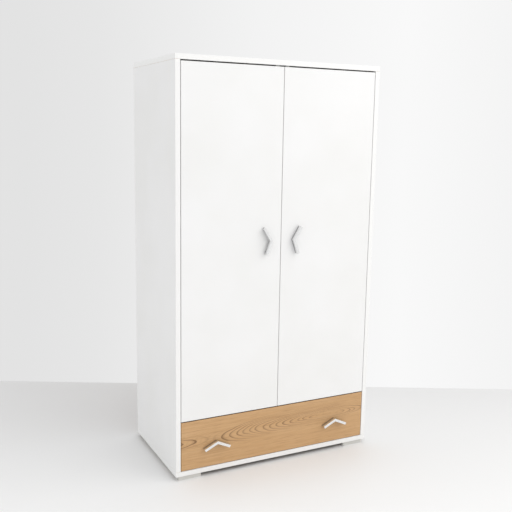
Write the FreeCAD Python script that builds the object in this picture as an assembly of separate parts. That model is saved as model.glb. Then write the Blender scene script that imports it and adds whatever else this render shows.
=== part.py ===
import FreeCAD, Part
import math
import os

# Free-standing wardrobe: two inset doors over one full-width drawer, on two low runners.
# Millimetres. Origin on the floor, at the middle of the overall width and depth,
# handles included. +X to the right, +Y to the rear, +Z up.

# Overall sizes
width = 1000.0
depth = 550.0               # carcass, front edges to rear edges
height = 1830.0             # floor to the top face
board = 22.0                # carcass boards
edge_round = 0.8            # rounded arrises of the boards
fit_gap = 0.3               # clearance where one fixed piece slips into another

# Runners under the bottom board
runner_height = 18.0
runner_width = 110.0
runner_inset = 12.0         # from the carcass sides
runner_setback = 4.0        # from the front and rear edges
runner_round = 6.0
runner_screw_inset = 60.0   # from the runner's ends

# Doors and drawer front
front_board = 16.0
reveal = 3.0                # upright gaps, and the gap below the drawer front
top_reveal = 6.0            # doors to the top board
drawer_reveal = 4.0         # doors to the drawer front
drawer_front_height = 224.0
stop_gap = 2.0              # from the back of a front to the shelf, slide or stop behind it

# Back, shelves and hanging rail
back_sheet = 3.0
back_inset = 12.0           # from the rear edges to the groove
groove_depth = 8.0
hat_shelf_drop = 320.0      # from the top board down to the hat shelf
hat_shelf_board = 16.0
hat_shelf_setback = 46.0    # behind the front edges
pin_radius = 2.5
pin_reach = 9.0
pin_bury = 9.0
pin_from_edge = 60.0
rail_radius = 12.5
rail_wall = 1.2
rail_drop = 62.0            # hat shelf down to the rail's centre
socket_rim = 4.0
socket_thick = 10.0
socket_base = 3.0
socket_screw_spacing = 15.0

# Knock-down fittings
cam_radius = 7.5
cam_thick = 12.5
cam_from_joint = 34.0
bolt_radius = 3.5
bolt_bury = 11.0
dowel_radius = 4.0
dowel_bury = 15.0
fitting_from_edge = 70.0    # cams, in from the front and rear edges
dowel_spacing = 45.0        # dowels, further in than the cams

# Cup hinges
hinge_count = 3
hinge_from_end = 100.0
cup_radius = 17.5
cup_depth = 12.5
cup_wall = 0.8
cup_from_edge = 5.0
cup_rim_radius = 18.8
cup_rim_thick = 1.2
cup_wing_spacing = 48.0
cup_wing_radius = 5.5
hinge_pin_radius = 1.25
hinge_eye_radius = 2.5
hinge_running = 0.05        # pin in eye, radial
eye_floor_gap = 0.2
pin_from_door_edge = 17.0
arm_half_height = 6.0
arm_sheet = 2.5
arm_stand_off = 8.7         # side board to the back of the arm
arm_length = 84.0           # front edge of the carcass to the arm's rear end
hook_out = 16.5             # hinge pin to the far side of the arm's hook
hook_corner_across = 2.0
hook_corner_back = 2.5
neck_start_across = 1.5     # the neck's bends run back from the lip, behind the door
neck_start_back = 3.5
neck_middle_share = 0.36    # of the hook's reach
neck_middle_back = 10.0
neck_end_across = 2.0
neck_end_back = 15.0
neck_straight_back = 19.0
plate_setback = 39.0        # back of the door to the mounting plate's centre
plate_wing = 26.0
plate_wing_depth = 12.0
plate_sheet = 2.5
plate_block = 20.0          # half its depth
plate_margin = 2.0          # block above and below the arm
plate_grip = 6.0            # arm screw's thread in the plate
plate_screw_spacing = 32.0
cup_wing_shift = 6.0        # screws, further from the door's edge than the cup's centre
cup_flange_margin = 3.5     # door's edge to the flange
cup_screw_bite = 9.6
short_screw = 13.0          # bite of the wood screws of hinges, slides and sockets

# Bow handles
handle_half_span = 63.5
handle_angle = 25.0
handle_bar = 12.0           # seen from the front
handle_thick = 12.0         # front to back
handle_stand_off = 12.0
handle_post_radius = 4.5
handle_post_half = 48.0
handle_round = 0.8
handle_web = 5.5                    # wall behind the bar, along its outer side
handle_web_inset = 1.0              # bar's outer edge to the web
door_handle_height = 1052.0         # handle's outer point above the floor
door_handle_from_middle = 51.5      # handle's outer point to the middle of the carcass
door_handle_tilt = 6.0              # upper ends lean away from the middle
drawer_handle_height = 163.0        # outer point of the handle above the floor
drawer_handle_inset = 190.0         # handle centre to the carcass side
machine_screw_radius = 2.0
machine_head_radius = 4.2
machine_head_thick = 2.6
machine_bury = 8.0          # thread inside the post

# Drawer box and its ball slides
slide_gap = 12.7            # side board to drawer box
slide_height = 45.0
slide_sheet = 1.2
slide_clear = 0.5
drawer_board = 15.0
drawer_side_height = 160.0
drawer_lift = 14.0          # bottom board to the drawer sides
drawer_rear_gap = 25.0
drawer_bottom_sheet = 5.0
drawer_bottom_up = 10.0
drawer_groove = 7.0
drawer_dowel_cover = 6.0    # wood left outside a blind dowel
drawer_dowel_heights = (48.0, 120.0)    # above the sides' lower edges
drawer_screw_inset = 45.0
drawer_screw_heights = (56.0, 128.0)
drawer_screw_share = 0.6    # bite, of the drawer front's thickness
slide_up = 74.0             # drawer side's lower edge to the slide's centre line
slide_screw_shares = (0.1, 0.5, 0.9)    # along the slide
slide_bite_share = 0.7      # of the drawer side's thickness

# Small hardware
screw_radius = 1.75
screw_head_radius = 3.6
screw_head_thick = 1.4
head_round_share = 0.45     # of a screw head's thickness
recess_depth_share = 0.45
recess_arm_share = 0.6      # of its radius
recess_slot_share = 0.16
runner_screw_bite = 15.0
runner_screw_clear = 1.0    # counterbore around the head
bumper_radius = 4.0
bumper_thick = 1.7
door_stop_width = 18.0
door_stop_depth = 14.0
door_stop_drop = 15.0
door_stop_from_middle = 24.0
stop_peg_radius = 2.5
stop_peg_bury = 10.0
bracket_leg = 32.0
bracket_width = 30.0
bracket_sheet = 2.0
bracket_from_middle = 400.0
bracket_hole_radius = 2.75
bracket_hole_out = 19.2     # bend to the wall hole, and to the screw

# Places worked out from the sizes above
half = width / 2
inner = half - board                        # inside face of a side board
reach = handle_stand_off + handle_thick
front = -(depth + reach) / 2 + reach        # front edges of the carcass
rear = front + depth
floor_z = runner_height + board               # upper face of the bottom board
roof_z = height - board                     # lower face of the top board
front_back = front + front_board            # back of the doors and the drawer front
drawer_top = floor_z + reveal + drawer_front_height
door_low = drawer_top + drawer_reveal
door_high = roof_z - top_reveal
divider_high = drawer_top + drawer_reveal / 2   # clear of the doors' hinged edges, which swing in over it
divider_low = divider_high - board
shelf_front = front_back + stop_gap
back_face = rear - back_inset - back_sheet  # inside face of the back
door_width = (2 * inner - 3 * reveal) / 2
hat_low = roof_z - hat_shelf_drop - hat_shelf_board
hat_high = hat_low + hat_shelf_board
rail_z = hat_low - rail_drop
rail_y = (front_back + back_face) / 2
pivot_from_side = reveal + pin_from_door_edge
pivot_y = front_back - cup_depth + cup_wall + hinge_eye_radius + eye_floor_gap
cup_from_side = reveal + cup_from_edge + cup_radius
hinge_step = (door_high - door_low - 2 * hinge_from_end) / (hinge_count - 1)
hinge_heights = [door_low + hinge_from_end + hinge_step * i for i in range(hinge_count)]
plate_y = front_back + plate_setback
box_side = inner - slide_gap                # outside face of the drawer box
box_low = floor_z + drawer_lift
box_rear = back_face - drawer_rear_gap
slide_z = box_low + slide_up
slide_front = front_back + stop_gap
slide_length = box_rear - slide_front
X, Y, Z = (FreeCAD.Vector(1, 0, 0), FreeCAD.Vector(0, 1, 0), FreeCAD.Vector(0, 0, 1))


def vec(x, y, z):
    return FreeCAD.Vector(x, y, z)


def block(x0, x1, y0, y1, z0, z1):
    return Part.makeBox(x1 - x0, y1 - y0, z1 - z0, vec(x0, y0, z0))


def board_block(x0, x1, y0, y1, z0, z1):
    # a board with its long arrises just broken
    solid = block(x0, x1, y0, y1, z0, z1)
    return solid.makeFillet(edge_round, solid.Edges)


def rod(radius, length, start, direction):
    return Part.makeCylinder(radius, length, start, direction)


def fuse(shapes):
    first, rest = shapes[0], shapes[1:]
    return first.multiFuse(rest).removeSplitter() if rest else first


def cut(shape, tools):
    return shape.cut(Part.makeCompound(tools)) if tools else shape


def mirrored(shape):
    return shape.mirror(vec(0, 0, 0), X)


def prism(outline, direction):
    # outline: closed list of points in one plane
    return Part.Face(Part.makePolygon(outline + [outline[0]])).extrude(direction)


def strip(path, half_thick, low, high):
    # sheet metal on edge, following a path seen from above, with round bends
    pieces = []
    for x, y in path:
        pieces.append(rod(half_thick, high - low, vec(x, y, low), Z))
    for (x0, y0), (x1, y1) in zip(path, path[1:]):
        run = math.hypot(x1 - x0, y1 - y0)
        nx, ny = -(y1 - y0) / run * half_thick, (x1 - x0) / run * half_thick
        outline = [vec(x0 + nx, y0 + ny, low), vec(x1 + nx, y1 + ny, low),
                   vec(x1 - nx, y1 - ny, low), vec(x0 - nx, y0 - ny, low)]
        pieces.append(prism(outline, vec(0, 0, high - low)))
    return fuse(pieces)


def screw(at, direction, head_radius, head_thick, radius, length):
    # pan head standing on the face at `at`, shank running along direction, cross recess in the head
    back = direction * -1
    head = rod(head_radius, head_thick, at, back)
    top = [e for e in head.Edges if (e.CenterOfMass - (at + back * head_thick)).Length < 0.01]
    head = head.makeFillet(head_thick * head_round_share, top)
    arm = head_radius * recess_arm_share
    slot = head_radius * recess_slot_share
    recess_floor = at + back * (head_thick * (1 - recess_depth_share))
    seated = FreeCAD.Placement(recess_floor, FreeCAD.Rotation(Z, back))
    recess = []
    for a, b in ((arm, slot), (slot, arm)):
        bar = Part.makeBox(2 * a, 2 * b, head_thick, vec(-a, -b, 0))
        bar.Placement = seated.multiply(bar.Placement)
        recess.append(bar)
    return fuse([cut(head, recess), rod(radius, length, at, direction)])


def shank(at, direction, radius, length):
    return rod(radius, length, at, direction)


def wood_screw(at, direction, length):
    return screw(at, direction, screw_head_radius, screw_head_thick, screw_radius, length)


def wood_hole(at, direction, length):
    return shank(at, direction, screw_radius, length)


pieces = {}
bores = {}                  # cutters waiting for the board that they go into


def add(name, shape):
    pieces[name] = shape


def add_group(name, shapes):
    pieces[name] = Part.makeCompound(shapes)


def bore(name, tool):
    bores.setdefault(name, []).append(tool)


def runners():
    screws = []
    y0, y1 = front + runner_setback, rear - runner_setback
    sunk = runner_height / 2
    length = runner_height - sunk + runner_screw_bite
    for side, x0 in (("left", -half + runner_inset), ("right", half - runner_inset - runner_width)):
        runner = block(x0, x0 + runner_width, y0, y1, 0, runner_height)
        upright = [e for e in runner.Edges if abs(e.tangentAt(e.FirstParameter).z) > 0.5]
        runner = runner.makeFillet(runner_round, upright)
        tools = []
        for y in (y0 + runner_screw_inset, (y0 + y1) / 2, y1 - runner_screw_inset):
            at = vec(x0 + runner_width / 2, y, sunk)
            tools.append(rod(screw_head_radius + runner_screw_clear, sunk, vec(at.x, y, 0), Z))
            tools.append(wood_hole(at, Z, length))
            screws.append(wood_screw(at, Z, length))
            bore("bottom_panel", wood_hole(at, Z, length))
        add(f"{side}_runner", cut(runner, tools))
    add_group("runner_screws", screws)


def knock_down_fittings():
    cams, bolts, dowels = [], [], []
    mid = inner + board / 2
    cam_ys = (front + fitting_from_edge, rear - fitting_from_edge)
    dowel_ys = (cam_ys[0] + dowel_spacing, cam_ys[1] - dowel_spacing)
    for side, sign in (("left", -1), ("right", 1)):
        panel = f"{side}_side_panel"
        for joint, host, up in ((roof_z, "top_panel", 1), (floor_z, "bottom_panel", -1)):
            for y in cam_ys:
                cam_z = joint - up * cam_from_joint
                start = vec(sign * mid, y, cam_z + up * cam_radius)
                length = cam_from_joint - cam_radius + bolt_bury
                cams.append(rod(cam_radius, cam_thick, vec(sign * inner, y, cam_z), X * sign))
                bolts.append(rod(bolt_radius, length, start, Z * up))
                bore(panel, cams[-1])
                bore(panel, bolts[-1])
                bore(host, bolts[-1])
            for y in dowel_ys:
                start = vec(sign * mid, y, joint - up * dowel_bury)
                dowels.append(rod(dowel_radius, 2 * dowel_bury, start, Z * up))
                bore(panel, dowels[-1])
                bore(host, dowels[-1])
        divider_mid = (divider_low + divider_high) / 2
        for y in cam_ys:
            cam_x = sign * (inner - cam_from_joint)
            start = vec(cam_x + sign * cam_radius, y, divider_mid)
            length = cam_from_joint - cam_radius + bolt_bury
            cams.append(rod(cam_radius, cam_thick, vec(cam_x, y, divider_low), Z))
            bolts.append(rod(bolt_radius, length, start, X * sign))
            bore("divider_shelf", cams[-1])
            bore("divider_shelf", bolts[-1])
            bore(panel, bolts[-1])
        for y in dowel_ys:
            start = vec(sign * (inner - dowel_bury), y, divider_mid)
            dowels.append(rod(dowel_radius, 2 * dowel_bury, start, X * sign))
            bore("divider_shelf", dowels[-1])
            bore(panel, dowels[-1])
    add_group("cam_locks", cams)
    add_group("cam_bolts", bolts)
    add_group("wooden_dowels", dowels)


def hat_shelf_and_pins():
    pins = []
    for sign in (-1, 1):
        for y in (front + hat_shelf_setback + pin_from_edge, back_face - fit_gap - pin_from_edge):
            start = vec(sign * (inner - pin_reach), y, hat_low - pin_radius)
            pins.append(rod(pin_radius, pin_reach + pin_bury, start, X * sign))
            side = "left" if sign < 0 else "right"
            bore(f"{side}_side_panel", pins[-1])
    add_group("shelf_pins", pins)
    add("hat_shelf", board_block(-inner + fit_gap, inner - fit_gap, front + hat_shelf_setback,
                                 back_face - fit_gap, hat_low, hat_high))


def hanging_rail():
    screws = []
    for side, sign in (("left", -1), ("right", 1)):
        start = vec(sign * inner, rail_y, rail_z)
        body = rod(rail_radius + socket_rim, socket_thick, start, X * -sign)
        seat = rod(rail_radius + fit_gap, socket_thick, start + X * (-sign * socket_base), X * -sign)
        # open above, so that the rail drops in
        x0, x1 = sorted((sign * (inner - socket_base), sign * (inner - socket_thick)))
        half_mouth = rail_radius + fit_gap
        mouth = block(x0, x1, rail_y - half_mouth, rail_y + half_mouth, rail_z, rail_z + 2 * rail_radius)
        tools = [seat, mouth]
        for z in (rail_z - socket_screw_spacing / 2, rail_z + socket_screw_spacing / 2):
            at = vec(sign * (inner - socket_base), rail_y, z)
            tools.append(wood_hole(at, X * sign, socket_base))
            bore(f"{side}_side_panel", wood_hole(at, X * sign, socket_base + short_screw))
            screws.append(wood_screw(at, X * sign, socket_base + short_screw))
        add(f"{side}_rail_socket", cut(body, tools))
    add_group("rail_socket_screws", screws)
    half_rail = inner - socket_base - screw_head_thick - fit_gap
    tube = rod(rail_radius, 2 * half_rail, vec(-half_rail, rail_y, rail_z), X)
    hollow = rod(rail_radius - rail_wall, 2 * half_rail, vec(-half_rail, rail_y, rail_z), X)
    add("hanging_rail", tube.cut(hollow))


def hinge_path():
    # plan of one left-hand arm, from the pin round the hook and back over the mounting plate
    px, py = -inner + pivot_from_side, pivot_y
    arm_x = -inner + arm_stand_off + arm_sheet / 2
    lip = front_back + 2 * arm_sheet
    hook_x = px + hook_out
    return [(px, py), (hook_x - hook_corner_across, py), (hook_x, py + hook_corner_back), (hook_x, lip),
            (hook_x - neck_start_across, lip + neck_start_back),
            (px + hook_out * neck_middle_share, lip + neck_middle_back),
            (arm_x + neck_end_across, lip + neck_end_back),
            (arm_x, lip + neck_straight_back), (arm_x, front + arm_length)]


def hinge_arm(z):
    low, high = z - arm_half_height, z + arm_half_height
    px, py = -inner + pivot_from_side, pivot_y
    eye = rod(hinge_eye_radius, high - low, vec(px, py, low), Z)
    arm = fuse([strip(hinge_path(), arm_sheet / 2, low, high), eye])
    running_hole = rod(hinge_pin_radius + hinge_running, high - low, vec(px, py, low), Z)
    return cut(arm, [running_hole, shank(arm_screw_at(z), X * -1, machine_screw_radius, arm_sheet)])


def arm_screw_at(z):
    return vec(-inner + arm_stand_off + arm_sheet, plate_y + plate_block / 2, z)


def mounting_plate(z):
    half_base = arm_half_height + plate_margin
    half_wing = plate_wing_depth / 2
    wings = block(-inner, -inner + plate_sheet, plate_y - half_wing, plate_y + half_wing,
                  z - plate_wing, z + plate_wing)
    base = block(-inner, -inner + arm_stand_off, plate_y - plate_block, plate_y + plate_block,
                 z - half_base, z + half_base)
    tools = [shank(arm_screw_at(z), X * -1, machine_screw_radius, arm_sheet + plate_grip)]
    tools += [wood_hole(at, X * -1, plate_sheet) for at in plate_screw_places(z)]
    return cut(fuse([wings, base]), tools)


def plate_screw_places(z):
    half_spacing = plate_screw_spacing / 2
    return [vec(-inner + plate_sheet, plate_y, z + dz) for dz in (-half_spacing, half_spacing)]


def cup_screw_places(z):
    wing_x = -inner + cup_from_side + cup_wing_shift
    half_spacing = cup_wing_spacing / 2
    return [vec(wing_x, front_back + cup_rim_thick, z + dz) for dz in (-half_spacing, half_spacing)]


def cup_pin(z):
    # ends inside the cup's wall
    offset = cup_from_side - pivot_from_side + hinge_pin_radius
    half_pin = math.sqrt((cup_radius - cup_wall / 2) ** 2 - offset ** 2)
    return rod(hinge_pin_radius, 2 * half_pin, vec(-inner + pivot_from_side, pivot_y, z - half_pin), Z)


def cup_shell(z):
    return rod(cup_radius, cup_depth, vec(-inner + cup_from_side, front_back - cup_depth, z), Y)


def hinge_cup(z):
    # pressed cup with a flange on the back of the door, cut off square beside the door's edge
    cx = -inner + cup_from_side
    hollow = rod(cup_radius - cup_wall, cup_depth + cup_rim_thick,
                 vec(cx, front_back - cup_depth + cup_wall, z), Y)
    flange = [rod(cup_rim_radius, cup_rim_thick, vec(cx, front_back, z), Y)]
    places = cup_screw_places(z)
    for at in places:
        flange.append(rod(cup_wing_radius, cup_rim_thick, vec(at.x, front_back, at.z), Y))
    wing_x = places[0].x
    flange.append(block(wing_x - cup_wing_radius, wing_x + cup_wing_radius, front_back,
                        front_back + cup_rim_thick, places[0].z, places[1].z))
    edge = -inner + reveal + cup_flange_margin
    past_edge = block(edge - cup_rim_radius, edge, front_back, front_back + cup_rim_thick,
                      z - cup_rim_radius, z + cup_rim_radius)
    tools = [hollow, cup_pin(z), past_edge]
    tools += [wood_hole(at, Y * -1, cup_rim_thick) for at in places]
    return cut(fuse([cup_shell(z), fuse(flange)]), tools)


def unchanged(shape):
    return shape


def hinges():
    arms, plates, plate_screws, arm_screws = [], [], [], []
    plate_bite = plate_sheet + short_screw
    cup_bite = cup_rim_thick + cup_screw_bite
    for side, place in (("left", unchanged), ("right", mirrored)):
        cups, pins, cup_screws = [], [], []
        for z in hinge_heights:
            arms.append(place(hinge_arm(z)))
            plates.append(place(mounting_plate(z)))
            arm_screws.append(place(screw(arm_screw_at(z), X * -1, screw_head_radius, screw_head_thick,
                                          machine_screw_radius, arm_sheet + plate_grip)))
            for at in plate_screw_places(z):
                plate_screws.append(place(wood_screw(at, X * -1, plate_bite)))
                bore(f"{side}_side_panel", place(wood_hole(at, X * -1, plate_bite)))
            cups.append(place(hinge_cup(z)))
            pins.append(place(cup_pin(z)))
            bore(f"{side}_door_panel", place(cup_shell(z)))
            for at in cup_screw_places(z):
                cup_screws.append(place(wood_screw(at, Y * -1, cup_bite)))
                bore(f"{side}_door_panel", place(wood_hole(at, Y * -1, cup_bite)))
        add_group(f"{side}_hinge_cups", cups)
        add_group(f"{side}_hinge_pins", pins)
        add_group(f"{side}_hinge_cup_screws", cup_screws)
    add_group("hinge_arms", arms)
    add_group("hinge_mounting_plates", plates)
    add_group("mounting_plate_screws", plate_screws)
    add_group("hinge_arm_screws", arm_screws)


def chevron(near, far, y):
    # bent band between two distances from the handle's outer edge, its ends drawn in by the nearer one
    lean = math.radians(handle_angle)
    c, s = math.cos(lean), math.sin(lean)
    corner = vec(handle_half_span, y, -handle_half_span * s / c) - vec(c, 0, -s) * near
    right = [corner - vec(s, 0, c) * near, corner - vec(s, 0, c) * far]
    left = [vec(-p.x, y, p.z) for p in right]
    return [vec(0, y, -near / c), right[0], right[1], vec(0, y, -far / c), left[1], left[0]]


def bow_handle():
    # point up, in the XZ plane, posts and web ending on y = 0, outer point at the origin's height
    bar = prism(chevron(0, handle_bar, -reach), Y * handle_thick)
    bar = bar.makeFillet(handle_round, bar.Edges)
    joined = handle_stand_off + handle_round
    solids = [bar, prism(chevron(handle_web_inset, handle_web_inset + handle_web, -joined), Y * joined)]
    tools = []
    for at in handle_post_places():
        solids.append(rod(handle_post_radius, joined, at, Y * -1))
        tools.append(shank(at, Y * -1, machine_screw_radius, machine_bury))
    return cut(fuse(solids), tools)


def handle_post_places():
    lean = math.radians(handle_angle)
    drop = handle_bar / 2 / math.cos(lean) + handle_post_half * math.tan(lean)
    return [vec(x, 0, -drop) for x in (-handle_post_half, handle_post_half)]


def handle_set(name, panel, at, turn, through):
    # turn: degrees about Y that carries the point from up to its direction on this front
    placement = FreeCAD.Placement(at, FreeCAD.Rotation(Y, turn))
    screws = []
    for post in handle_post_places():
        head = placement.multVec(post) + Y * through
        screws.append(screw(head, Y * -1, machine_head_radius, machine_head_thick,
                            machine_screw_radius, through + machine_bury))
        bore(panel, shank(head, Y * -1, machine_screw_radius, through))
    handle = bow_handle()
    handle.Placement = placement
    add(name, handle)
    return screws


def doors():
    for side, sign in (("left", -1), ("right", 1)):
        x0 = min(sign * (inner - reveal), sign * (inner - reveal - door_width))
        panel = board_block(x0, x0 + door_width, front, front_back, door_low, door_high)
        turn = (90 - door_handle_tilt) * -sign
        name = f"{side}_door_panel"
        at = vec(sign * door_handle_from_middle, front, door_handle_height)
        screws = handle_set(f"{side}_door_handle", name, at, turn, front_board)
        add_group(f"{side}_door_handle_screws", screws)
        add(name, panel)


def door_stops():
    # blocks pegged under the top board behind the doors' free edges, each with a soft dot
    stops, bumpers = [], []
    y0 = front_back + stop_gap
    dot_z = roof_z - (door_stop_drop + top_reveal) / 2
    for x in (-door_stop_from_middle, door_stop_from_middle):
        peg = rod(stop_peg_radius, stop_peg_bury, vec(x, y0 + door_stop_depth / 2, roof_z), Z)
        body = block(x - door_stop_width / 2, x + door_stop_width / 2, y0, y0 + door_stop_depth,
                     roof_z - door_stop_drop, roof_z)
        stops.append(fuse([body, peg]))
        bore("top_panel", peg)
        bumpers.append(rod(bumper_radius, bumper_thick, vec(x, y0, dot_z), Y * -1))
    add_group("door_stops", stops)
    add_group("door_bumpers", bumpers)


def drawer():
    left, right = -box_side, box_side
    left_in, right_in = left + drawer_board, right - drawer_board
    low, high = box_low, box_low + drawer_side_height
    front_low = floor_z + reveal
    inner_back = front_back + drawer_board
    show = inner - reveal
    add("drawer_front", board_block(-show, show, front, front_back, front_low, drawer_top))
    add("drawer_inner_front", block(left_in, right_in, front_back, inner_back, low, high))
    add("drawer_back", block(left_in, right_in, box_rear - drawer_board, box_rear, low, high))
    add("drawer_left_side", block(left, left_in, front_back, box_rear, low, high))
    add("drawer_right_side", block(right_in, right, front_back, box_rear, low, high))
    sheet_low = low + drawer_bottom_up
    x0, x1 = left_in - drawer_groove, right_in + drawer_groove
    y0, y1 = inner_back - drawer_groove, box_rear - drawer_board + drawer_groove
    groove = block(x0, x1, y0, y1, sheet_low, sheet_low + drawer_bottom_sheet + 2 * fit_gap)
    sheet = block(x0 + fit_gap, x1 - fit_gap, y0 + fit_gap, y1 - fit_gap,
                  sheet_low + fit_gap, sheet_low + drawer_bottom_sheet + fit_gap)
    add("drawer_bottom", sheet)
    for name in ("drawer_inner_front", "drawer_back", "drawer_left_side", "drawer_right_side"):
        bore(name, groove)
    # corner dowels of the box
    dowels = []
    for x, into in ((left, X), (right, X * -1)):
        for y in (front_back + drawer_board / 2, box_rear - drawer_board / 2):
            for up in drawer_dowel_heights:
                start = vec(x, y, low + up) + into * drawer_dowel_cover
                dowel = rod(dowel_radius, 2 * dowel_bury, start, into)
                dowels.append(dowel)
                for name in ("drawer_inner_front", "drawer_back", "drawer_left_side", "drawer_right_side"):
                    if pieces[name].common(dowel).Volume > 1:
                        bore(name, dowel)
    add_group("drawer_box_dowels", dowels)
    # screws that hold the drawer front, driven from inside the box
    screws = []
    for x in (left + drawer_screw_inset, right - drawer_screw_inset):
        for up in drawer_screw_heights:
            at = vec(x, inner_back, low + up)
            length = drawer_board + front_board * drawer_screw_share
            screws.append(wood_screw(at, Y * -1, length))
            bore("drawer_inner_front", wood_hole(at, Y * -1, length))
            bore("drawer_front", wood_hole(at, Y * -1, length))
    add_group("drawer_front_screws", screws)
    screws = []
    for side, sign in (("left", -1), ("right", 1)):
        at = vec(sign * (half - drawer_handle_inset), front, drawer_handle_height)
        through = front_board + drawer_board
        screws += handle_set(f"drawer_{side}_handle", "drawer_front", at, 0, through)
        for post in handle_post_places():
            bore("drawer_inner_front", shank(post + at, Y, machine_screw_radius, through))
    add_group("drawer_handle_screws", screws)


def channel(x_back, x_lip, y0, y1, half_high):
    # C section: web at x_back, flanges out to x_lip
    outer = block(min(x_back, x_lip), max(x_back, x_lip), y0, y1, slide_z - half_high, slide_z + half_high)
    web = x_back + math.copysign(slide_sheet, x_lip - x_back)
    hollow = block(min(web, x_lip), max(web, x_lip), y0, y1,
                   slide_z - half_high + slide_sheet, slide_z + half_high - slide_sheet)
    return outer.cut(hollow)


def slides():
    y0, y1 = slide_front, slide_front + slide_length
    nest = slide_sheet + slide_clear
    cabinet_screws, drawer_screws = [], []
    for side, sign in (("left", -1), ("right", 1)):
        wall, box = sign * inner, sign * box_side
        outer = channel(wall, box + sign * slide_clear, y0, y1, slide_height / 2)
        middle = channel(wall + -sign * nest, box + sign * slide_clear, y0, y1, slide_height / 2 - nest)
        drawer_member = channel(box, wall - sign * 2 * nest, y0, y1, slide_height / 2 - 2 * nest)
        panel, box_board = f"{side}_side_panel", f"drawer_{side}_side"
        tools, windows, drawer_tools = [], [], []
        for share in slide_screw_shares:
            y = y0 + slide_length * share
            at = vec(wall - sign * slide_sheet, y, slide_z)
            bite = slide_sheet + short_screw
            flush = rod(screw_head_radius, slide_sheet / 2, at + X * (sign * slide_sheet / 2), X * -sign)
            cabinet_screws.append(fuse([flush, shank(at, X * sign, screw_radius, bite)]))
            tools.append(cabinet_screws[-1])
            bore(panel, wood_hole(at, X * sign, bite))
            at = vec(box + sign * slide_sheet, y, slide_z)
            bite = slide_sheet + drawer_board * slide_bite_share
            flush = rod(screw_head_radius, slide_sheet / 2, at - X * (sign * slide_sheet / 2), X * sign)
            drawer_screws.append(fuse([flush, shank(at, X * -sign, screw_radius, bite)]))
            drawer_tools.append(drawer_screws[-1])
            bore(box_board, wood_hole(at, X * -sign, bite))
        add(f"{side}_slide_cabinet_member", cut(outer, tools))
        add(f"{side}_slide_middle_member", middle)
        add(f"{side}_slide_drawer_member", cut(drawer_member, drawer_tools))
    add_group("slide_cabinet_screws", cabinet_screws)
    add_group("slide_drawer_screws", drawer_screws)


def wall_brackets():
    # angle under the top board, for a screw through the back into a wall
    brackets, screws = [], []
    y1 = back_face
    for x in (-bracket_from_middle, bracket_from_middle):
        x0, x1 = x - bracket_width / 2, x + bracket_width / 2
        flat = block(x0, x1, y1 - bracket_leg, y1, roof_z - bracket_sheet, roof_z)
        upright = block(x0, x1, y1 - bracket_sheet, y1, roof_z - bracket_leg, roof_z)
        start = vec(x, y1 - bracket_sheet, roof_z - bracket_hole_out)
        wall_hole = rod(bracket_hole_radius, back_sheet + bracket_sheet, start, Y)
        bore("back_panel", wall_hole)
        at = vec(x, y1 - bracket_hole_out, roof_z - bracket_sheet)
        bite = bracket_sheet + short_screw
        brackets.append(cut(fuse([flat, upright]), [wall_hole, wood_hole(at, Z, bite)]))
        screws.append(wood_screw(at, Z, bite))
        bore("top_panel", wood_hole(at, Z, bite))
    add_group("wall_brackets", brackets)
    add_group("wall_bracket_screws", screws)


def carcass():
    for side, sign in (("left", -1), ("right", 1)):
        x0, x1 = sorted((sign * half, sign * inner))
        add(f"{side}_side_panel", board_block(x0, x1, front, rear, floor_z, roof_z))
    add("top_panel", board_block(-half, half, front, rear, roof_z, height))
    add("bottom_panel", board_block(-half, half, front, rear, runner_height, floor_z))
    shelf_rear = back_face - fit_gap
    add("divider_shelf", board_block(-inner, inner, shelf_front, shelf_rear, divider_low, divider_high))
    back_rear = back_face + back_sheet
    x1 = inner + groove_depth
    z0, z1 = floor_z - groove_depth, roof_z + groove_depth
    groove = block(-x1, x1, back_face - fit_gap, back_rear + fit_gap, z0, z1)
    sheet = block(-x1 + fit_gap, x1 - fit_gap, back_face, back_rear, z0 + fit_gap, z1 - fit_gap)
    add("back_panel", sheet)
    for name in ("left_side_panel", "right_side_panel", "top_panel", "bottom_panel"):
        bore(name, groove)


def write():
    os.makedirs("parts", exist_ok=True)
    for name, shape in pieces.items():
        shape = cut(shape, bores.get(name, []))
        shape.exportStep(f"parts/{name}.step")


carcass()
runners()
knock_down_fittings()
hat_shelf_and_pins()
hanging_rail()
doors()
hinges()
door_stops()
drawer()
slides()
wall_brackets()
write()
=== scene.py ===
import math

import bpy
from mathutils import Matrix, Vector


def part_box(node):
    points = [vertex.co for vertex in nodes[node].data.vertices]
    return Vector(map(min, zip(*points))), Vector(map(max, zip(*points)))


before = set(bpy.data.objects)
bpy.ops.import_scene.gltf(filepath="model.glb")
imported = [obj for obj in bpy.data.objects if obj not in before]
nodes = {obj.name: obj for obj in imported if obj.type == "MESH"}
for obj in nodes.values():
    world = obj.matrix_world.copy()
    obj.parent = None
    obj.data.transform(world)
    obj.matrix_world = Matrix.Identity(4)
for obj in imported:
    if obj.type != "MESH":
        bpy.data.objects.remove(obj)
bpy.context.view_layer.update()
print("frame loaded:", len(nodes), "nodes")


def hexToLinear(code):
    # "c19b70" to linear red, green, blue and full alpha
    parts = [int(code[i:i + 2], 16) / 255 for i in (0, 2, 4)]
    return [p / 12.92 if p <= 0.04045 else ((p + 0.055) / 1.055) ** 2.4 for p in parts] + [1.0]


def addNode(tree, kind, inputs=None, **settings):
    # an input given as a node or a socket is linked, a node by its first output in use; the rest are values
    made = tree.nodes.new("ShaderNode" + kind)
    for name, value in settings.items():
        setattr(made, name, value)
    for socket, value in (inputs or {}).items():
        if isinstance(value, bpy.types.Node):
            value = next(output for output in value.outputs if not output.is_unavailable)
        if isinstance(value, bpy.types.NodeSocket):
            tree.links.new(value, made.inputs[socket])
        else:
            made.inputs[socket].default_value = value
    return made


def newMaterial(name):
    material = bpy.data.materials.new(name)
    material.use_nodes = True
    material.node_tree.nodes.clear()
    return material, material.node_tree


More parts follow.
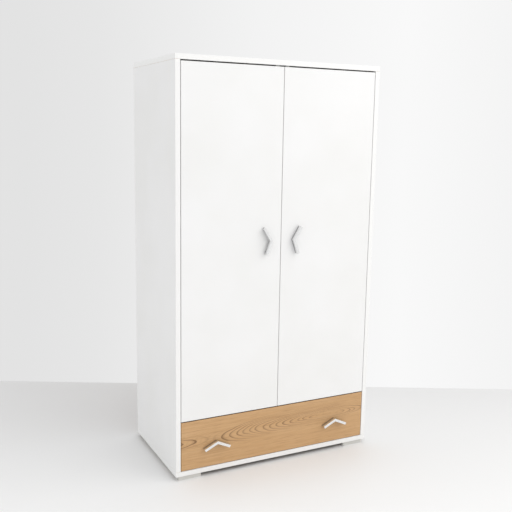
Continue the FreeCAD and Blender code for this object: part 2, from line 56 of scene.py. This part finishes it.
def closeMaterial(tree, inputs):
    shader = addNode(tree, "BsdfPrincipled", inputs)
    addNode(tree, "OutputMaterial", {"Surface": shader})


def rampStops(ramp, stops):
    # stops are pairs of position and sRGB hex
    stops = list(stops)
    elements = ramp.color_ramp.elements
    while len(elements) < len(stops):
        elements.new(1.0)
    for element, (position, code) in zip(elements, stops):
        element.position = position
        element.color = hexToLinear(code)


def paint(material, *names):
    for name in names:
        slots = nodes[name].data.materials
        slots.clear()
        slots.append(material)


# camera: a little left of the wardrobe and above its middle, looking slightly down
cameraSetup = {
    "place": (-1.5498, -3.0690, 1.5226),   # metres
    "heading": 26.942,                     # degrees to the right of facing the doors
    "down": 9.685,
    "roll": 0.940,
    "lens": 50.93,                         # mm
    "sensor": 36.0,                        # mm wide
    "farthest": 100.0,                     # metres
}


def makeCamera(setup):
    data = bpy.data.cameras.new("camera")
    data.lens = setup["lens"]
    data.sensor_width = setup["sensor"]
    data.clip_end = setup["farthest"]
    camera = bpy.data.objects.new("camera", data)
    camera.matrix_world = (
        Matrix.Translation(setup["place"])
        @ Matrix.Rotation(math.radians(-setup["heading"]), 4, "Z")
        @ Matrix.Rotation(math.radians(90 - setup["down"]), 4, "X")
        @ Matrix.Rotation(math.radians(setup["roll"]), 4, "Z")
    )
    bpy.context.scene.collection.objects.link(camera)
    bpy.context.scene.camera = camera


makeCamera(cameraSetup)
print("camera set")


# studio: a pale floor that ends in a straight line behind the wardrobe, a pale surround, one soft key light
studio = {
    "floorNear": "f6f6f6",       # paint in front of the wardrobe
    "floorFarShade": "e5e5e5",        # and at the floor's far edge, darker: painted shade where the light falls off
    "floorShadeFrom": -0.9,       # metres in front of the wardrobe where the painted shade starts to darken the floor
    "floorEdge": 0.793,          # metres from the wardrobe's middle to the floor's far edge
    "floorReach": 14.0,
    "floorWobbleSize": 1.25,          # metres from one wobble of the painted shade to the next
    "floorShadeWobble": 0.15,          # metres that the wobbles shift where the painted shade falls
    "floorGloss": (0.55, 0.25),  # roughness and specular level of matt paint
    # tone of the surround from the left, -1, past straight ahead, 0, to the right, 1
    "surround": [(-0.60, "f2f2f2"), (-0.42, "e3e3e3"), (-0.30, "e3e3e3"), (-0.21, "e6e6e6"),
                 (0.0, "f3f3f3"), (0.195, "f9f9f9"), (0.333, "f4f4f4"), (0.60, "f8f8f8")],
    "keyPlace": (2.3, -2.6, 3.8),
    "keyAim": (0.0, -0.1, 0.9),
    "keySize": 5.0,
    "keyPower": 62.0,
    "keyColour": "fffdfa",
}


def makeStudio(values):
    scene = bpy.context.scene
    heading = math.radians(cameraSetup["heading"])
    ahead = Vector((math.sin(heading), math.cos(heading), 0))
    right = Vector((math.cos(heading), -math.sin(heading), 0))
    reach, edge = values["floorReach"], values["floorEdge"]
    places = ((-reach, -reach), (-reach, reach), (edge, reach), (edge, -reach))
    corners = [ahead * forward + right * across for forward, across in places]
    mesh = bpy.data.meshes.new("floor")
    mesh.from_pydata(corners, [], [(0, 1, 2, 3)])
    floor = bpy.data.objects.new("floor", mesh)
    scene.collection.objects.link(floor)

    # matt floor paint, with a breath of gloss. Its tone darkens towards the far edge: painted shade where
    # the light falls off, with a faint wobble
    material, tree = newMaterial("matt_floor_with_painted_shade")
    place = addNode(tree, "TexCoord").outputs["Object"]
    cloud = addNode(tree, "TexNoise", {"Vector": place, "Scale": 1 / values["floorWobbleSize"], "Detail": 2.0})
    away = addNode(tree, "VectorMath", {0: place, 1: ahead}, operation="DOT_PRODUCT")
    wobbledAway = addNode(tree, "Math", {0: cloud, 1: values["floorShadeWobble"], 2: away}, operation="MULTIPLY_ADD")
    fall = addNode(tree, "MapRange", {"Value": wobbledAway, "From Min": values["floorShadeFrom"],
                                      "From Max": edge})
    tone = addNode(tree, "ValToRGB", {"Fac": fall})
    rampStops(tone, [(0.0, values["floorNear"]), (1.0, values["floorFarShade"])])
    rough, specular = values["floorGloss"]
    closeMaterial(tree, {"Base Color": tone, "Roughness": rough, "Specular IOR Level": specular})
    mesh.materials.append(material)

    world = bpy.data.worlds.new("surround")
    scene.world = world
    world.use_nodes = True
    tree = world.node_tree
    tree.nodes.clear()
    direction = addNode(tree, "TexCoord").outputs["Generated"]
    side = addNode(tree, "VectorMath", {0: direction, 1: right}, operation="DOT_PRODUCT")
    sweep = addNode(tree, "MapRange", {"Value": side, "From Min": -1.0, "From Max": 1.0})
    tone = addNode(tree, "ValToRGB", {"Fac": sweep})
    rampStops(tone, [((place + 1) / 2, code) for place, code in values["surround"]])
    glow = addNode(tree, "Background", {"Color": tone, "Strength": 1.0})
    addNode(tree, "OutputWorld", {"Surface": glow})

    data = bpy.data.lights.new("key", "AREA")
    data.shape = "DISK"
    data.size = values["keySize"]
    data.energy = values["keyPower"]
    data.color = hexToLinear(values["keyColour"])[:3]
    key = bpy.data.objects.new("key", data)
    key.location = values["keyPlace"]
    aim = Vector(values["keyAim"]) - key.location
    key.rotation_euler = aim.to_track_quat("-Z", "Y").to_euler()
    scene.collection.objects.link(key)
    scene.view_settings.view_transform = "Standard"


makeStudio(studio)
print("studio set")


# melamine-faced particleboard: resin paper pressed on chipboard, white, satin. The eye sees a clean flat
# white with a faint pebble in the gloss, and smoother plastic edging on the narrow sides
melamine = {
    "face": "f3f3f3",
    "faceShade": "f0f0ef",
    "edging": "f5f5f4",
    "drift": 300.0,             # mm from one cloud of tone to the next
    "driftStops": (0.35, 0.65),
    "pebble": 1.5,              # mm, drawn coarser than the real 0.5 mm so that it shows
    "pebbleDepth": 0.03,        # mm
    "relief": 0.5,
    "gloss": (0.36, 0.46),
    "ior": 1.5,
}
# faces left without paper: their tone, how far they have to look up or down, and which way, 0 for both
sawnEnds = {"tone": "b08a5e", "from": 0.3, "way": 0}
brownUnderside = {"tone": "6f5a44", "from": 0.9, "way": -1}


def melamineBoard(name, values, thin, bare=None):
    # thin is 0, 1 or 2: the axis through the board's thickness
    material, tree = newMaterial(name)
    coordinates = addNode(tree, "TexCoord")
    place = coordinates.outputs["Object"]
    facing = addNode(tree, "SeparateXYZ", {"Vector": coordinates.outputs["Normal"]})
    flat = addNode(tree, "Math", {0: facing.outputs[thin]}, operation="ABSOLUTE")
    narrow = addNode(tree, "Math", {0: flat, 1: 0.5}, operation="LESS_THAN")
    cloud = addNode(tree, "TexNoise", {"Vector": place, "Scale": 1000 / values["drift"], "Detail": 2.0})
    paper = addNode(tree, "ValToRGB", {"Fac": cloud})
    rampStops(paper, zip(values["driftStops"], (values["faceShade"], values["face"])))
    colour = addNode(tree, "Mix", {"Factor": narrow, "A": paper, "B": hexToLinear(values["edging"])},
                     data_type="RGBA")
    if bare:
        tilt = addNode(tree, "Math", {0: facing.outputs["Z"], 1: bare["way"]},
                       operation="MULTIPLY" if bare["way"] else "ABSOLUTE")
        bareFace = addNode(tree, "Math", {0: tilt, 1: bare["from"]}, operation="GREATER_THAN")
        colour = addNode(tree, "Mix", {"Factor": bareFace, "A": colour, "B": hexToLinear(bare["tone"])},
                         data_type="RGBA")
    pebble = addNode(tree, "TexNoise", {"Vector": place, "Scale": 1000 / values["pebble"], "Detail": 2.0})
    low, high = values["gloss"]
    gloss = addNode(tree, "MapRange", {"Value": pebble, "To Min": low, "To Max": high})
    relief = addNode(tree, "Bump", {"Height": pebble, "Strength": values["relief"],
                                    "Distance": values["pebbleDepth"] / 1000})
    closeMaterial(tree, {"Base Color": colour, "Roughness": gloss, "Normal": relief, "IOR": values["ior"]})
    return material


# the sides' sawn ends show as a fine tan line where they meet the boards above and below
paint(melamineBoard("melamine_board_upright", melamine, 0, sawnEnds), "left_side_panel", "right_side_panel")
paint(melamineBoard("melamine_board_level", melamine, 2), "top_panel", "divider_shelf", "hat_shelf")
paint(melamineBoard("melamine_board_brown_below", melamine, 2, brownUnderside), "bottom_panel")
paint(melamineBoard("melamine_board_door", melamine, 1), "left_door_panel", "right_door_panel")
print("white boards painted")

# runners: the same board, toned pale grey, darker than the doors
runnerBoard = dict(melamine, face="d6d5d1", faceShade="cfceca", edging="d2d1cc")
paint(melamineBoard("runner_board_toned_grey", runnerBoard, 2), "left_runner", "right_runner")
print("runners painted")

# foil-wrapped drawer board: paper foil on chipboard, thinner and duller than the outer boards
drawerFoil = dict(melamine, face="ececea", faceShade="e6e6e3", edging="e2e1dd", drift=180.0, pebble=1.0,
                  pebbleDepth=0.02, gloss=(0.48, 0.6))
paint(melamineBoard("drawer_foil_long", drawerFoil, 1), "drawer_inner_front", "drawer_back")
paint(melamineBoard("drawer_foil_side", drawerFoil, 0), "drawer_left_side", "drawer_right_side")
print("drawer boards painted")

# crown-cut oak veneer, matt lacquer, grain along the drawer's width: arches with thin brown late-wood lines
# that fan out to the left and close in a long loop at the right, over short fine pores
oak = {
    "light": "d2ab7f",
    "middle": "cba273",
    "deep": "c39969",
    "lateWood": "75522f",
    "pore": "a67e52",
    "shadedUpperEdge": "6b4c2f",       # the top edge under the doors: its own brown darkened into painted shade of the gap, seen only as a dark line
    "shadedUpperEdgeFrom": 0.95,       # how far a face has to look up to be that edge
    "heart": (0.275, 0.1855),    # metres: middle of the arches, across and up
    "ring": 0.035,               # metres from arch to arch along the grain
    "leftHeart": (-0.62, 0.165),
    "leftRing": 0.055,
    "leftFade": (0.25, 0.29, 1.0, 0.0),     # distance from the left heart, and the lines' strength there
    "climb": 0.03,               # metres that the figure climbs over one metre to the right
    "stretch": 8.0,              # how much longer than high the arches are
    "dive": 1.5,                 # how fast the rings move as the wood is cut deeper
    "waver": 0.024,              # metres between the highest and lowest wander of a line
    "waverSize": (160.0, 70.0),  # mm
    "pace": 9.0,                 # good and poor years to the metre
    "paceShift": 0.05,           # metres that they open or close the spacing
    "yearTones": [(0.0, "505050"), (0.10, "000000"), (0.55, "101010"), (0.76, "b0b0b0"), (0.85, "ffffff"),
                  (0.95, "ffffff"), (1.0, "505050")],
    "weakestYear": 0.6,
    # where the main arches fade: from, to, strength before and strength after
    "fadeUp": [(0.20, 0.50, 1.0, 0.30), (-0.40, -0.14, 0.04, 1.0)],     # stretched metres above the heart
    "fadeOut": [(0.08, 0.13, 0.3, 1.0), (0.55, 0.60, 1.0, 0.15)],       # metres from the heart
    "pastLoop": ((0.06, 0.14, 0.0, 0.85), (0.20, 0.22, 0.0, 1.0)),      # lost right of it, and outside it
    "patchSize": (240.0, 60.0),  # mm, patches where the lines are weaker
    "patchFade": (0.35, 0.62, 0.75, 1.0),
    "lineStrength": 0.95,
    "fine": 0.55,                # how much the finer parts of each streak count
    "poreSize": (60.0, 2.2),     # mm, length and width, drawn coarser than the real 6 by 0.3 mm to show
    "poreFade": (0.52, 0.72, 0.0, 0.5),
    "fibreSize": (260.0, 5.0),   # mm, long soft streaks of tone
    "fibreStops": (0.20, 0.5, 0.80),
    "poreRange": (0.3, 0.7),     # from the smoothest to the most open wood
    "poreDepth": 0.04,           # mm
    "relief": 0.35,
    "gloss": (0.42, 0.56),
    "ior": 1.5,
}


def oakVeneer(name, values, node):
    material, tree = newMaterial(name)
    coordinates = addNode(tree, "TexCoord")
    place = coordinates.outputs["Object"]
    axes = addNode(tree, "SeparateXYZ", {"Vector": place})
    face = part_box(node)[0].y

    def streaks(size, detail):
        # noise stretched along the grain; size is length and width in mm
        length, width = size
        space = addNode(tree, "Mapping", {"Vector": place,
                                          "Scale": (1000 / length, 1000 / width, 1000 / width)})
        return addNode(tree, "TexNoise", {"Vector": space, "Scale": 1.0, "Detail": detail,
                                          "Roughness": values["fine"]})

    def weaken(line, measure, fade):
        start, stop, before, after = fade
        left = addNode(tree, "MapRange", {"Value": measure, "From Min": start, "From Max": stop,
                                          "To Min": before, "To Max": after})
        return addNode(tree, "Math", {0: line, 1: left}, operation="MULTIPLY")

    centred = addNode(tree, "Math", {0: streaks(values["waverSize"], 2.0), 1: 0.5}, operation="SUBTRACT")
    waver = addNode(tree, "Math", {0: centred, 1: values["waver"]}, operation="MULTIPLY")

    def arches(heart, ring):
        # distance from the heart, with the height stretched so that rings become long arches
        along = addNode(tree, "Math", {0: axes.outputs["X"], 1: heart[0]}, operation="SUBTRACT")
        level = addNode(tree, "Math", {0: along, 1: values["climb"], 2: heart[1]}, operation="MULTIPLY_ADD")
        above = addNode(tree, "Math", {0: axes.outputs["Z"], 1: level}, operation="SUBTRACT")
        wavered = addNode(tree, "Math", {0: above, 1: waver}, operation="ADD")
        up = addNode(tree, "Math", {0: wavered, 1: values["stretch"]}, operation="MULTIPLY")
        depth = addNode(tree, "Math", {0: axes.outputs["Y"], 1: face}, operation="SUBTRACT")
        into = addNode(tree, "Math", {0: depth, 1: values["dive"]}, operation="MULTIPLY")
        spot = addNode(tree, "CombineXYZ", {"X": along, "Y": up, "Z": into})
        distance = addNode(tree, "VectorMath", {0: spot}, operation="LENGTH")
        # good and poor years: the spacing opens and closes, and each year has its own strength
        pace = addNode(tree, "TexNoise", {"W": distance, "Scale": values["pace"], "Detail": 1.0},
                       noise_dimensions="1D")
        ahead = addNode(tree, "Math", {0: pace, 1: 0.5}, operation="SUBTRACT")
        paced = addNode(tree, "Math", {0: ahead, 1: values["paceShift"], 2: distance},
                        operation="MULTIPLY_ADD")
        year = addNode(tree, "Math", {0: paced, 1: ring}, operation="DIVIDE")
        season = addNode(tree, "Math", {0: year}, operation="FRACT")
        late = addNode(tree, "ValToRGB", {"Fac": season})
        rampStops(late, values["yearTones"])
        count = addNode(tree, "Math", {0: year}, operation="FLOOR")
        own = addNode(tree, "TexWhiteNoise", {"W": count}, noise_dimensions="1D").outputs["Value"]
        line = weaken(late, own, (0.0, 1.0, values["weakestYear"], 1.0))
        return along, up, distance, line

    along, up, distance, line = arches(values["heart"], values["ring"])
    for measure, fades in ((up, values["fadeUp"]), (distance, values["fadeOut"])):
        for fade in fades:
            line = weaken(line, measure, fade)
    # beyond the last loop's right end the arches are lost
    byPlace, byRing = values["pastLoop"]
    lost = weaken(1.0, along, byPlace)
    lost = weaken(lost, distance, byRing)
    kept = addNode(tree, "Math", {0: 1.0, 1: lost}, operation="SUBTRACT")
    line = addNode(tree, "Math", {0: line, 1: kept}, operation="MULTIPLY")
    # a second, smaller figure comes in from the left end
    leftDistance, leftLine = arches(values["leftHeart"], values["leftRing"])[2:]
    leftLine = weaken(leftLine, leftDistance, values["leftFade"])
    line = addNode(tree, "Math", {0: line, 1: leftLine}, operation="MAXIMUM")
    line = weaken(line, streaks(values["patchSize"], 1.0), values["patchFade"])
    line = addNode(tree, "Math", {0: line, 1: values["lineStrength"]}, operation="MULTIPLY")

    ground = addNode(tree, "ValToRGB", {"Fac": streaks(values["fibreSize"], 3.0)})
    rampStops(ground, zip(values["fibreStops"], (values["deep"], values["middle"], values["light"])))
    pores = streaks(values["poreSize"], 3.0)
    facing = addNode(tree, "SeparateXYZ", {"Vector": coordinates.outputs["Normal"]})
    # faces that look up, the top edge, get the dark brown painted shade of the gap under the doors
    onShadedEdge = addNode(tree, "Math", {0: facing.outputs["Z"], 1: values["shadedUpperEdgeFrom"]},
                     operation="GREATER_THAN")
    colour = ground
    for share, tone in ((weaken(1.0, pores, values["poreFade"]), "pore"), (line, "lateWood"),
                        (onShadedEdge, "shadedUpperEdge")):
        colour = addNode(tree, "Mix", {"Factor": share, "A": colour, "B": hexToLinear(values[tone])},
                         data_type="RGBA")
    low, high = values["gloss"]
    shallow, deep = values["poreRange"]
    gloss = addNode(tree, "MapRange", {"Value": pores, "From Min": shallow, "From Max": deep,
                                       "To Min": low, "To Max": high})
    filled = addNode(tree, "Math", {0: 1.0, 1: pores}, operation="SUBTRACT")
    relief = addNode(tree, "Bump", {"Height": filled, "Strength": values["relief"],
                                    "Distance": values["poreDepth"] / 1000})
    closeMaterial(tree, {"Base Color": colour, "Roughness": gloss, "Normal": relief, "IOR": values["ior"]})
    return material


paint(oakVeneer("oak_veneer_matt_lacquered", oak, "drawer_front"), "drawer_front")
print("oak painted")

# hardboard: wood fibres pressed wet, smooth printed white on the side that faces the room, raw brown behind
hardboard = {
    "white": "ededeb",
    "brown": "8a6a4b",
    "brownDark": "6f5238",
    "feltStops": (0.42, 0.72),
    "fibre": (9.0, 1.2),        # mm, drawn coarser than the real hairs so that they show
    "tangle": 1.2,
    "relief": 0.3,
    "feltDepth": 0.1,           # mm
    "roughWhite": 0.5,
    "roughBrown": 0.75,
    "ior": 1.5,
}


def pressedHardboard(name, values, whiteAxis, whiteSign):
    material, tree = newMaterial(name)
    coordinates = addNode(tree, "TexCoord")
    facing = addNode(tree, "SeparateXYZ", {"Vector": coordinates.outputs["Normal"]})
    turned = addNode(tree, "Math", {0: facing.outputs[whiteAxis], 1: whiteSign}, operation="MULTIPLY")
    printed = addNode(tree, "Math", {0: turned, 1: 0.5}, operation="GREATER_THAN")
    length, width = values["fibre"]
    mats = []
    for scale in ((length, width, width), (width, length, length)):
        space = addNode(tree, "Mapping", {"Vector": coordinates.outputs["Object"],
                                          "Scale": [1000 / s for s in scale]})
        mats.append(addNode(tree, "TexNoise", {"Vector": space, "Scale": 1.0, "Detail": 4.0,
                                               "Distortion": values["tangle"]}))
    felt = addNode(tree, "Math", {0: mats[0], 1: mats[1]}, operation="MAXIMUM")
    raw = addNode(tree, "ValToRGB", {"Fac": felt})
    rampStops(raw, zip(values["feltStops"], (values["brownDark"], values["brown"])))
    colour = addNode(tree, "Mix", {"Factor": printed, "A": raw, "B": hexToLinear(values["white"])},
                     data_type="RGBA")
    rough = addNode(tree, "MapRange", {"Value": printed, "To Min": values["roughBrown"],
                                       "To Max": values["roughWhite"]})
    relief = addNode(tree, "Bump", {"Height": felt, "Strength": values["relief"],
                                    "Distance": values["feltDepth"] / 1000})
    closeMaterial(tree, {"Base Color": colour, "Roughness": rough, "Normal": relief, "IOR": values["ior"]})
    return material


paint(pressedHardboard("hardboard_back_white_faced", hardboard, 1, -1.0), "back_panel")
paint(pressedHardboard("hardboard_drawer_bottom", hardboard, 2, 1.0), "drawer_bottom")
print("hardboard painted")

# brushed stainless steel bar: fine straight scratches along each arm, near-white where it meets the light,
# with the web behind the bar toned darker
handleSteel = {
    "bright": "f6f6f6",
    "dull": "e9eaea",
    "toneStops": (0.35, 0.65),
    "web": "b4b4b5",
    "webFrom": 0.0125,          # metres behind the bar's face
    "angle": 25.0,              # degrees that each arm leans from the handle's length
    "scratch": (40.0, 0.5),     # mm, length and width, drawn coarser than the real 0.05 mm to show
    "relief": 0.4,
    "depth": 0.006,             # mm
    "gloss": (0.2, 0.34),
}


def brushedHandle(node, values, lengthAxis, pointSide):
    # the scratches mirror at the handle's point, half way along its length; pointSide is the way that the
    # point looks across the length
    material, tree = newMaterial("brushed_steel_" + node)
    low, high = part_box(node)
    middle = (low + high) / 2
    place = addNode(tree, "TexCoord").outputs["Object"]
    moved = addNode(tree, "VectorMath", {0: place, 1: middle}, operation="SUBTRACT")
    axes = addNode(tree, "SeparateXYZ", {"Vector": moved})
    run = addNode(tree, "Math", {0: axes.outputs[lengthAxis]}, operation="ABSOLUTE")
    side = addNode(tree, "Math", {0: axes.outputs[2 - lengthAxis], 1: pointSide}, operation="MULTIPLY")
    folded = addNode(tree, "CombineXYZ", {"X": run, "Y": axes.outputs["Y"], "Z": side})
    turned = addNode(tree, "VectorRotate", {"Vector": folded, "Angle": math.radians(values["angle"])},
                     rotation_type="Y_AXIS")
    length, width = values["scratch"]
    space = addNode(tree, "Mapping", {"Vector": turned,
                                      "Scale": (1000 / length, 1000 / width, 1000 / width)})
    scratch = addNode(tree, "TexNoise", {"Vector": space, "Scale": 1.0, "Detail": 2.0})
    bar = addNode(tree, "ValToRGB", {"Fac": scratch})
    rampStops(bar, zip(values["toneStops"], (values["dull"], values["bright"])))
    behind = addNode(tree, "Math", {0: axes.outputs["Y"], 1: low.y - middle.y + values["webFrom"]},
                     operation="GREATER_THAN")
    colour = addNode(tree, "Mix", {"Factor": behind, "A": bar, "B": hexToLinear(values["web"])},
                     data_type="RGBA")
    smooth, rough = values["gloss"]
    gloss = addNode(tree, "MapRange", {"Value": scratch, "To Min": smooth, "To Max": rough})
    relief = addNode(tree, "Bump", {"Height": scratch, "Strength": values["relief"],
                                    "Distance": values["depth"] / 1000})
    closeMaterial(tree, {"Base Color": colour, "Roughness": gloss, "Normal": relief, "Metallic": 1.0})
    return material


for node, lengthAxis, pointSide in (("left_door_handle", 2, -1.0), ("right_door_handle", 2, 1.0),
                                    ("drawer_left_handle", 0, 1.0), ("drawer_right_handle", 0, 1.0)):
    paint(brushedHandle(node, handleSteel, lengthAxis, pointSide), node)
print("handles painted")

# metals of the hidden fittings. Zinc-plated sheet: bluish grey with a soft crystal cloud. Nickel-plated
# pressings: warmer and brighter. Chromed tube: dark clear mirror. Bright screws: plated and a little
# greasy. Die-cast zinc: dull, grainy. Sizes in mm: one cloud of tone, one grain and the grain's depth
fittingMetals = {
    "zinc_plated_sheet_steel": {
        "tones": ("a9b0b6", "c6ccd0"), "cloud": 14.0, "grain": 0.6, "depth": 0.01, "gloss": (0.28, 0.42),
        "nodes": ["left_slide_cabinet_member", "right_slide_cabinet_member", "left_slide_middle_member",
                  "right_slide_middle_member", "left_slide_drawer_member", "right_slide_drawer_member",
                  "wall_brackets", "hinge_mounting_plates"],
    },
    "nickel_plated_pressed_steel": {
        "tones": ("b9b5ab", "cfccc4"), "cloud": 9.0, "grain": 0.5, "depth": 0.006, "gloss": (0.18, 0.3),
        "nodes": ["hinge_arms", "left_hinge_cups", "right_hinge_cups", "left_hinge_pins",
                  "right_hinge_pins"],
    },
    "chromed_steel_tube": {
        "tones": ("c4c8cb", "d2d5d8"), "cloud": 40.0, "grain": 0.8, "depth": 0.002, "gloss": (0.06, 0.12),
        "nodes": ["hanging_rail"],
    },
    "bright_zinc_plated_screws": {
        "tones": ("a4a8ab", "bfc3c6"), "cloud": 5.0, "grain": 0.4, "depth": 0.008, "gloss": (0.22, 0.36),
        "nodes": ["rail_socket_screws", "runner_screws", "cam_bolts", "mounting_plate_screws",
                  "hinge_arm_screws", "wall_bracket_screws", "slide_cabinet_screws", "slide_drawer_screws",
                  "left_door_handle_screws", "right_door_handle_screws", "drawer_handle_screws",
                  "drawer_front_screws", "left_hinge_cup_screws", "right_hinge_cup_screws", "shelf_pins"],
    },
    "die_cast_zinc": {
        "tones": ("8f9294", "a3a6a8"), "cloud": 4.0, "grain": 0.5, "depth": 0.03, "gloss": (0.42, 0.58),
        "nodes": ["cam_locks"],
    },
}
platingStops = (0.05, 0.45)     # darkest and lightest part of the clouds
fittingRelief = 0.4


def platedMetal(name, values):
    material, tree = newMaterial(name)
    place = addNode(tree, "TexCoord").outputs["Object"]
    cloud = addNode(tree, "TexVoronoi", {"Vector": place, "Scale": 1000 / values["cloud"]},
                    feature="SMOOTH_F1")
    grain = addNode(tree, "TexNoise", {"Vector": place, "Scale": 1000 / values["grain"], "Detail": 3.0})
    blend = addNode(tree, "Math", {0: cloud, 1: grain}, operation="MULTIPLY")
    colour = addNode(tree, "ValToRGB", {"Fac": blend})
    rampStops(colour, zip(platingStops, values["tones"]))
    smooth, rough = values["gloss"]
    gloss = addNode(tree, "MapRange", {"Value": grain, "To Min": smooth, "To Max": rough})
    relief = addNode(tree, "Bump", {"Height": grain, "Strength": fittingRelief,
                                    "Distance": values["depth"] / 1000})
    closeMaterial(tree, {"Base Color": colour, "Roughness": gloss, "Normal": relief, "Metallic": 1.0})
    return material


for name, values in fittingMetals.items():
    paint(platedMetal(name, values), *values["nodes"])
print("fittings painted")

# plastics and dowels. Moulded polypropylene: white, slightly waxy, fine spark texture. Soft bumper:
# clear-white rubbery dots. Beech dowel: pale pinkish wood with short flecks, pressed flutes. Sizes in mm:
# one grain and its depth. Stretch says how much finer the grain is along each axis, below 1 for longer
smallParts = {
    "moulded_white_polypropylene": {
        "tones": ("e4e4e2", "ececea"), "stretch": (1.0, 1.0, 1.0), "grain": 0.8, "depth": 0.03,
        "gloss": (0.38, 0.5), "glow": 0.15,
        "nodes": ["left_rail_socket", "right_rail_socket", "door_stops"],
    },
    "soft_rubber_bumper": {
        "tones": ("d8d8d4", "e6e6e2"), "stretch": (1.0, 1.0, 1.0), "grain": 1.2, "depth": 0.02,
        "gloss": (0.5, 0.6), "glow": 0.3,
        "nodes": ["door_bumpers"],
    },
    "fluted_beech_dowel": {
        "tones": ("c79a6c", "dcb88c"), "stretch": (0.15, 1.0, 1.0), "grain": 1.0, "depth": 0.05,
        "gloss": (0.6, 0.72), "glow": 0.0,
        "nodes": ["wooden_dowels", "drawer_box_dowels"],
    },
}
grainStops = (0.35, 0.65)
glowDepth = 0.002               # metres that light travels inside the plastic
smallPartIor = 1.49


def smallPart(name, values):
    material, tree = newMaterial(name)
    place = addNode(tree, "TexCoord").outputs["Object"]
    space = addNode(tree, "Mapping", {"Vector": place,
                                      "Scale": [s * 1000 / values["grain"] for s in values["stretch"]]})
    grain = addNode(tree, "TexNoise", {"Vector": space, "Scale": 1.0, "Detail": 3.0})
    colour = addNode(tree, "ValToRGB", {"Fac": grain})
    rampStops(colour, zip(grainStops, values["tones"]))
    smooth, rough = values["gloss"]
    gloss = addNode(tree, "MapRange", {"Value": grain, "To Min": smooth, "To Max": rough})
    relief = addNode(tree, "Bump", {"Height": grain, "Strength": fittingRelief,
                                    "Distance": values["depth"] / 1000})
    closeMaterial(tree, {"Base Color": colour, "Roughness": gloss, "Normal": relief, "IOR": smallPartIor,
                         "Subsurface Weight": values["glow"], "Subsurface Radius": [glowDepth] * 3,
                         "Subsurface Scale": 1.0})
    return material


for name, values in smallParts.items():
    paint(smallPart(name, values), *values["nodes"])
print("plastics and dowels painted")
